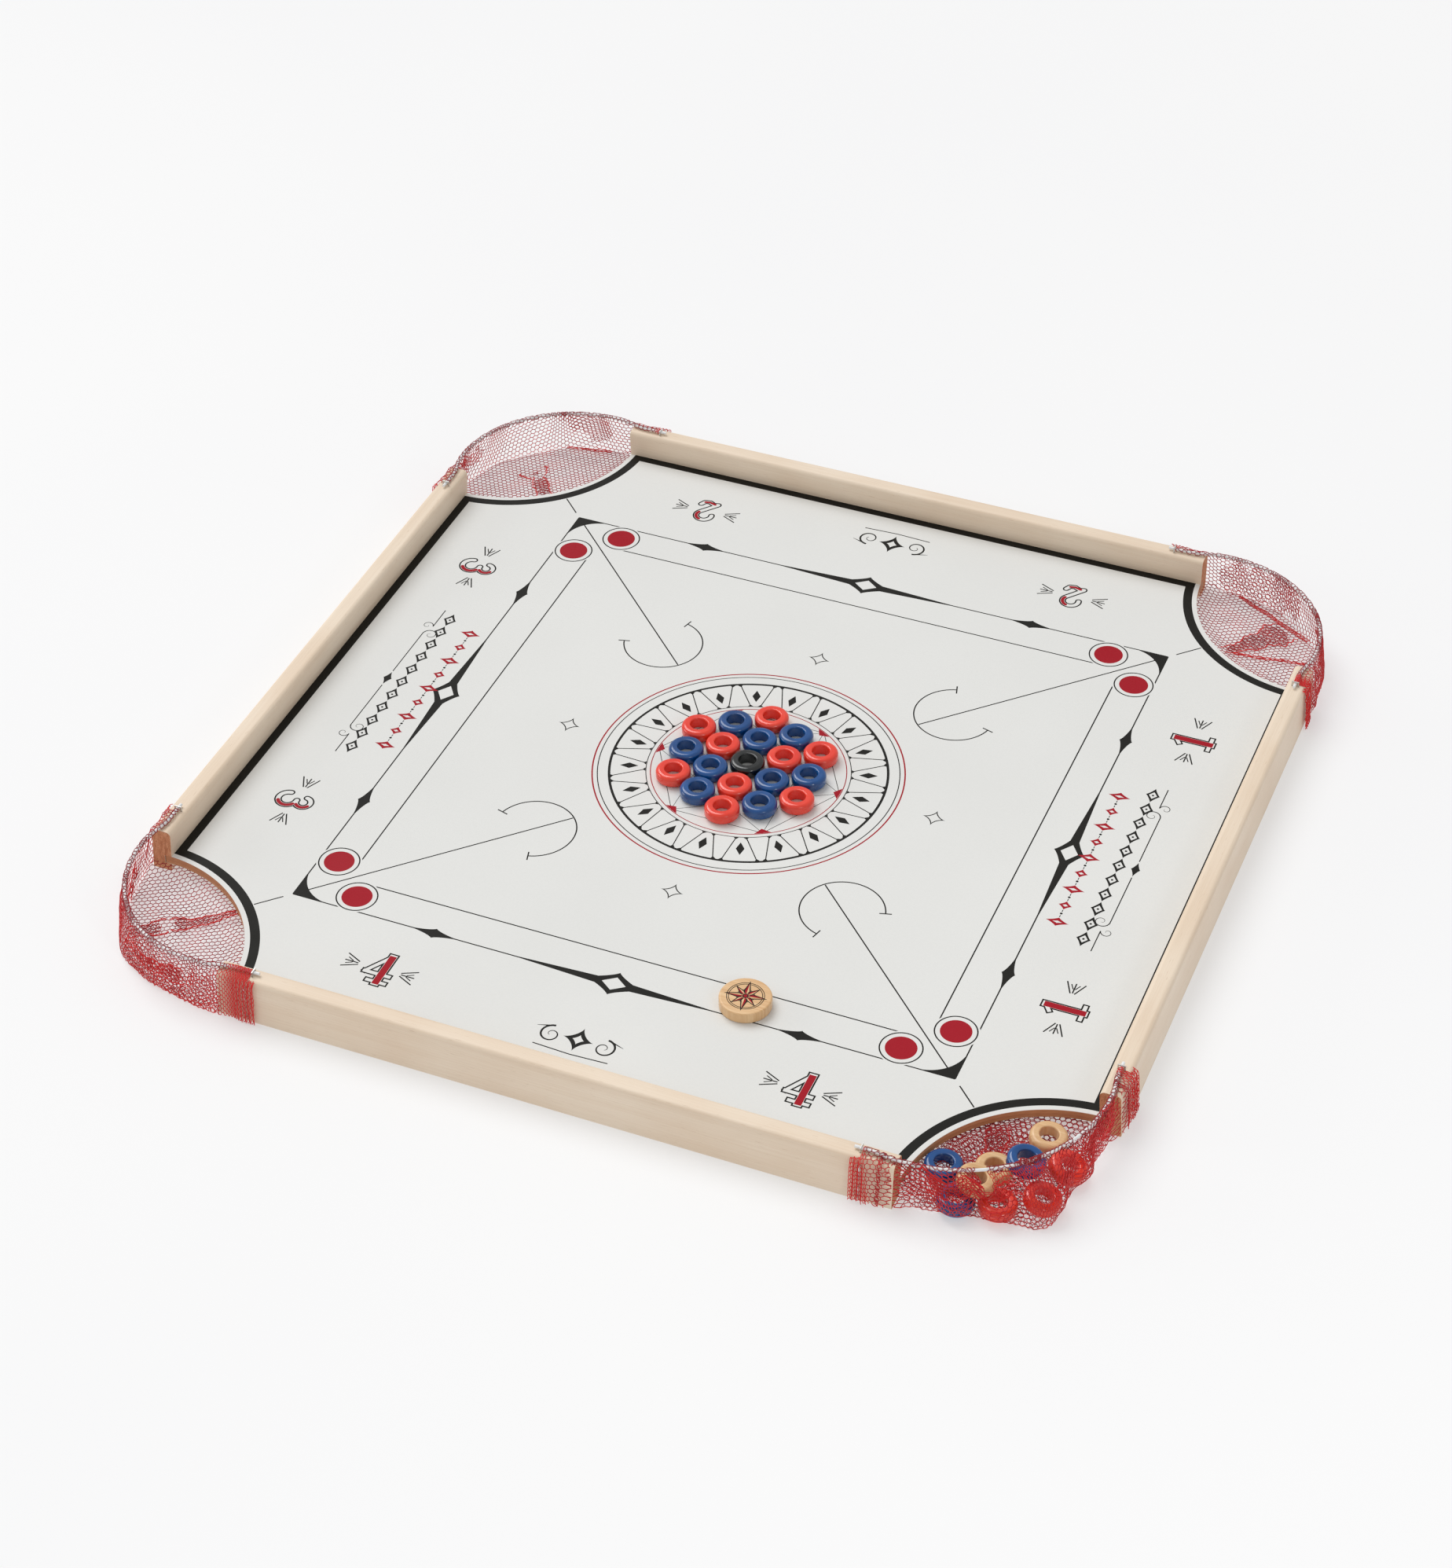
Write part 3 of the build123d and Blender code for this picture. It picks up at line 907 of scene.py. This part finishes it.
class Net:
    """Takes points of a net's flat cut to their places in the hung net."""

    def __init__(self, pocket, turn, seed):
        self.pocket, self.seed = pocket, seed
        outline, grid = wall_form(pocket, turn, seed)
        self.length = route_length(outline)
        self.places = np.linspace(0, self.length, wall_rows)
        self.foot = along_route(outline, self.places)
        self.along, self.out = ways(outline, self.places)
        # Stations at even steps of length up the wall, so that the net neither stretches nor shrinks
        steps = np.linalg.norm(np.diff(grid, axis=1), axis=2)
        lengths = np.concatenate([np.zeros((len(grid), 1)), np.cumsum(steps, axis=1)], axis=1)
        self.heights = lengths[:, -1]
        stations = np.arange(0, self.heights.max() + 2 * step, step)
        self.wall = np.empty((len(grid), len(stations), 3))
        for k, axis in np.ndindex(len(grid), 3):
            self.wall[k, :, axis] = np.interp(stations, lengths[k], grid[k, :, axis])
        normal = np.cross(np.gradient(self.wall, axis=0), np.gradient(self.wall, axis=1))
        self.normal = normal / np.maximum(np.linalg.norm(normal, axis=2, keepdims=True), 1e-9)
        # Bunching: the cut is longer than the place it covers; both count back from one far end
        far_end = 500.0
        self.real = np.append(np.linspace(cord_end, 270, 237), far_end)
        self.bunch, self.cut = [], []
        for dense, loose, amount in pocket["bunches"]:
            bunch = 1 + amount * (1 - smooth(dense, loose, self.real - cord_end))
            runs = (bunch[1:] + bunch[:-1]) / 2 * np.diff(self.real)
            self.bunch.append(bunch)
            self.cut.append(far_end - np.cumsum(np.append(runs, 0.0)[::-1])[::-1])

    def hang(self, flat, lift):
        """Places, normals, redness and whether there is net there, for points of the flat cut."""
        spot = flat.copy()
        pulled = np.ones(len(flat))
        for bunch, cut, axis in zip(self.bunch, self.cut, (1, 0)):
            spot[:, axis] = np.interp(flat[:, axis], cut, self.real)
            pulled = np.maximum(pulled, np.interp(flat[:, axis], cut, bunch))
        squares = (spot**2).sum(axis=1)[:, None] + (self.foot**2).sum(axis=1)[None, :]
        nearest = (squares - 2 * spot @ self.foot.T).argmin(axis=1)
        offset = spot - self.foot[nearest]
        place = self.places[nearest] + (offset * self.along[nearest]).sum(axis=1)
        beyond = (offset * self.out[nearest]).sum(axis=1)
        # On the wall
        row = np.clip(place / self.length, 0, 0.9999) * (wall_rows - 1)
        column = np.clip(beyond / step, 0, self.wall.shape[1] - 1.001)
        r, c = row.astype(int), column.astype(int)
        fr, fc = (row - r)[:, None], (column - c)[:, None]
        wall, normal = (
            table[r, c] * (1 - fr) * (1 - fc) + table[r + 1, c] * fr * (1 - fc)
            + table[r, c + 1] * (1 - fr) * fc + table[r + 1, c + 1] * fr * fc
            for table in (self.wall, self.normal)
        )
        top = np.interp(place, self.places, self.heights) - beyond
        # On the table, and up to the panel's underside at its cut corner
        level = np.column_stack([flat, np.zeros(len(flat))])
        to_corner = np.hypot(spot[:, 0] - half_panel, spot[:, 1] - half_panel)
        slack = 0.7 + 1.5 * wavy(level, 19.0, self.seed) + 0.5 * wavy(level, 7.0, self.seed)
        slack = np.clip(slack, 0, None) * (1 - smooth(88, 100, to_corner)) * smooth(0, -6, beyond)
        rise = net_rest + slack + panel_lift * smooth(88, 103, to_corner)
        on_wall = beyond > 0
        points = np.where(on_wall[:, None], wall, np.column_stack([spot, rise]))
        normal = np.where(on_wall[:, None], normal, np.array([0.0, 0.0, 1.0]))
        normal /= np.maximum(np.linalg.norm(normal, axis=1, keepdims=True), 1e-9)
        lift = lift * np.where(to_corner > 98, 0, 1) * smooth(6, 12, top)
        points = points + normal * lift[:, None]
        # Painted light and shade on the thread: one red for the wall and one for the floor, brighter at the
        # wall's foot and where bunched, with random patches; near the hem only the bunching counts
        red = np.where(on_wall, self.pocket["wall_lit_red"], self.pocket["floor_lit_red"])
        red = red + 0.5 * np.exp(-((beyond / 2.0) ** 2)) + smooth(1.4, 2.4, pulled)
        red = red + 0.35 * wavy(level, 14.0, self.seed + 5)
        red = np.where(top < 10, smooth(1.6, 2.6, pulled), red)
        in_corner = (spot.min(axis=1) > half_rail - 1) & (to_corner < 110.5)
        there = np.where(on_wall, (top > 0) & (place > 0) & (place < self.length), in_corner)
        # The cords' clear ends and their staples stay bare
        there &= (points[:, :2].min(axis=1) > bare_cord) | (top > 13.5)
        return points, normal, red, there


def honeycomb():
    """Both ends of every thread of a mesh of six-sided cells, over the whole quadrant."""
    side = cell / math.sqrt(3)
    column, line = np.meshgrid(np.arange(-48, 49), np.arange(-56, 57))
    centres = np.column_stack([(column + 0.5 * (line % 2)).ravel() * cell, line.ravel() * 1.5 * side])
    corners = np.array([(0, side), (cell / 2, side / 2), (cell / 2, -side / 2), (0, -side)])
    ends = []
    for first in (0, 1):
        end = np.concatenate([centres + corners[first + k] for k in range(3)])
        ends.append(np.array(turned(end, 30)) + 300)
    return ends


def strip(shape):
    """A strip's start, ways along and across, length, and half width at a distance along it."""
    x0, y0, x1, y1, half_0, half_1 = shape
    axis = np.array([x1 - x0, y1 - y0], float)
    long = np.linalg.norm(axis)
    axis /= long

    def half_width(a):
        uneven = 1 + 0.18 * np.sin(0.31 * a + x0) + 0.1 * np.sin(0.83 * a)
        return (half_0 + (half_1 - half_0) * a / long) * uneven

    return np.array([x0, y0], float), axis, np.array([-axis[1], axis[0]]), long, half_width


def patch(shape, threads, flip, slide, lift):
    """Another layer of net over one tapering strip, turned over where flip is -1."""
    start, axis, side, long, half_width = strip(shape)
    kept = np.ones(len(threads[0]), bool)
    layer = []
    for end in threads:
        a, c = (end - start) @ axis + slide, (end - start) @ side * flip
        kept &= (a > 3 + 0.5 * np.abs(c)) & (a < long - 3 - 0.5 * np.abs(c)) & (np.abs(c) < half_width(a))
        layer.append(start + a[:, None] * axis + c[:, None] * side)
    return layer[0][kept], layer[1][kept], np.full(kept.sum(), lift), np.full(kept.sum(), 0.2)


def crease(shape, edge, shift, lift):
    """A bunched line of thread along one edge of a strip."""
    start, axis, side, long, half_width = strip(shape)
    a = np.arange(0, long, 2.0)
    c = edge * half_width(a) + shift + 0.35 * np.sin(1.9 * a + 2 * edge + shift)
    line = start + a[:, None] * axis + c[:, None] * side
    return line[:-1], line[1:], np.full(len(a) - 1, lift), np.full(len(a) - 1, 0.9)


def net_layers(pocket):
    """Both ends, the lift and the extra redness of every thread of a net, laid flat."""
    threads = honeycomb()
    none = np.zeros(len(threads[0]))
    parts = [(*threads, none, none)]
    for shape in pocket["pleats"]:
        parts += [patch(shape, threads, -1, 0.9, 0.6), patch(shape, threads, 1, 1.7, 1.1)]
        for edge in (-1, 1):
            parts += [crease(shape, edge, shift, 0.9 - 0.4 * shift) for shift in (0.0, 0.7)]
    parts += [patch(shape, threads, -1, 0.9, 0.6) for shape in pocket["doubled"]]
    return [np.concatenate(values) for values in zip(*parts)]


def quad_mesh(name, points, quads):
    """A mesh of four-sided faces, from points in millimetres."""
    mesh = bpy.data.meshes.new(name)
    mesh.vertices.add(len(points))
    mesh.vertices.foreach_set("co", (points / 1000).astype(np.float32).ravel())
    mesh.loops.add(quads.size)
    mesh.loops.foreach_set("vertex_index", quads.astype(np.int32).ravel())
    mesh.polygons.add(len(quads))
    mesh.polygons.foreach_set("loop_start", (np.arange(len(quads)) * 4).astype(np.int32))
    mesh.update(calc_edges=True)
    return mesh


def net_mesh(name, pocket, turn, seed):
    """The net as a mesh of square-sided threads, its flat cut's two sides and its cut's area."""
    net = Net(pocket, turn, seed)
    first, second, lift, more_red = net_layers(pocket)
    p0, n0, red0, there0 = net.hang(first, lift)
    p1, n1, red1, there1 = net.hang(second, lift)
    long = np.linalg.norm(p1 - p0, axis=1)
    kept = there0 & there1 & (long > 0.05) & (long < 6)
    cut = first[(lift == 0) & kept]
    area = kept.sum() * cell**2 * math.sqrt(3) / 6
    p0, n0, p1, n1 = (values[kept] for values in (p0, n0, p1, n1))
    sideways = np.cross(p1 - p0, n0 + n1)
    sideways /= np.maximum(np.linalg.norm(sideways, axis=1, keepdims=True), 1e-9)
    corners = []
    for p, n in ((p0, n0), (p1, n1)):
        for across, up in ((1, 1), (-1, 1), (-1, -1), (1, -1)):
            corners.append(p + sideways * across * thread_width / 2 + n * up * thread_depth / 2)
    points = np.stack(corners, 1).reshape(-1, 3)
    points[:, :2] = turned(points[:, :2], turn)
    points[:, 2] = np.maximum(points[:, 2], 0.05)
    sides = np.array([[k, (k + 1) % 4, (k + 1) % 4 + 4, k + 4] for k in range(4)])
    base = np.arange(len(p0))[:, None] * 8
    mesh = quad_mesh(name, points, np.concatenate([base + side for side in sides]))
    # Each point keeps its painted light and shade, with its bunching, for the thread's colour
    red = np.clip(np.stack([red0 + more_red, red1 + more_red], 1)[kept], 0, 1)
    lit_and_gathered = mesh.attributes.new("lit_and_gathered", "FLOAT", "POINT")
    lit_and_gathered.data.foreach_set("value", np.repeat(red, 4, axis=1).ravel().astype(np.float32))
    mesh.materials.append(thread)
    hung = bpy.data.objects.new(name, mesh)
    bpy.context.scene.collection.objects.link(hung)
    return hung, cut.max(axis=0) - cut.min(axis=0), area


for seed, (quadrant, pocket) in enumerate(pockets.items()):
    net, sides, area = net_mesh(f"mesh_net_{quadrant}", pocket, turns[quadrant], 3.7 + 11 * seed)
    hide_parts(f"net_{quadrant}")
    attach(net, "board")

# -------- stage, light and camera

camera_place = (708.35, -1760.85, 1577.83)
camera_angles = (22.408, 39.7312, 0.28964)  # azimuth, elevation and roll, in degrees
camera_lens = 78.18
floor_reach = 6.0

azimuth, elevation, roll = (math.radians(angle) for angle in camera_angles)
level = math.cos(elevation)
back = Vector((math.sin(azimuth) * level, -math.cos(azimuth) * level, math.sin(elevation)))
ahead = -back
right = ahead.cross(Vector((0, 0, 1))).normalized()
down = ahead.cross(right)
right, down = (
    right * math.cos(roll) + down * math.sin(roll),
    down * math.cos(roll) - right * math.sin(roll),
)
camera = bpy.data.objects.new("camera", bpy.data.cameras.new("camera"))
bpy.context.scene.collection.objects.link(camera)
facing = Matrix((right, -down, back)).transposed().to_4x4()
camera.matrix_world = Matrix.Translation(mm(*camera_place)) @ facing
camera.data.lens = camera_lens
camera.data.sensor_width = 36.0
camera.data.clip_start = 0.05
camera.data.clip_end = 50
bpy.context.scene.camera = camera

floor_mesh = bpy.data.meshes.new("floor")
floor_corners = [(x * floor_reach, y * floor_reach, 0) for x, y in ((-1, -1), (1, -1), (1, 1), (-1, 1))]
floor_mesh.from_pydata(floor_corners, [], [(0, 1, 2, 3)])
floor = bpy.data.objects.new("floor", floor_mesh)
bpy.context.scene.collection.objects.link(floor)
floor_look = Shader("floor", 0.9, 0.1)
mottling = floor_look.noise(900, 900, 900, 2)
floor_look.set("Base Color", floor_look.ramp(mottling, (0.3, 194, 194, 195), (0.7, 197, 197, 197)))
floor_look.set("Emission Color", (1.0, 1.0, 1.0, 1.0))
floor_look.set("Emission Strength", 0.4)
floor_mesh.materials.append(floor_look.material)

world = bpy.data.worlds.new("world")
world.use_nodes = True
world.node_tree.nodes["Background"].inputs["Color"].default_value = (1.0, 1.0, 1.0, 1.0)
world.node_tree.nodes["Background"].inputs["Strength"].default_value = 0.54
bpy.context.scene.world = world
bpy.context.scene.view_settings.view_transform = "Standard"


def lamp(name, kind, place, energy, **settings):
    """A lamp that points at the board's centre."""
    data = bpy.data.lights.new(name, kind)
    data.energy = energy
    for key, value in settings.items():
        setattr(data, key, value)
    made = bpy.data.objects.new(name, data)
    made.location = place
    made.rotation_euler = (-Vector(place)).to_track_quat("-Z", "Y").to_euler()
    bpy.context.scene.collection.objects.link(made)


lamp("sky_light", "SUN", (-1.2, 0.8, 2.0), 1.5, angle=math.radians(40))
lamp("window", "AREA", (-2.2, -0.6, 0.55), 6.0, shape="RECTANGLE", size=0.9, size_y=0.7)
lamp("right_card", "AREA", (1.5, -1.3, 1.1), 3.0, shape="RECTANGLE", size=0.35, size_y=0.35)
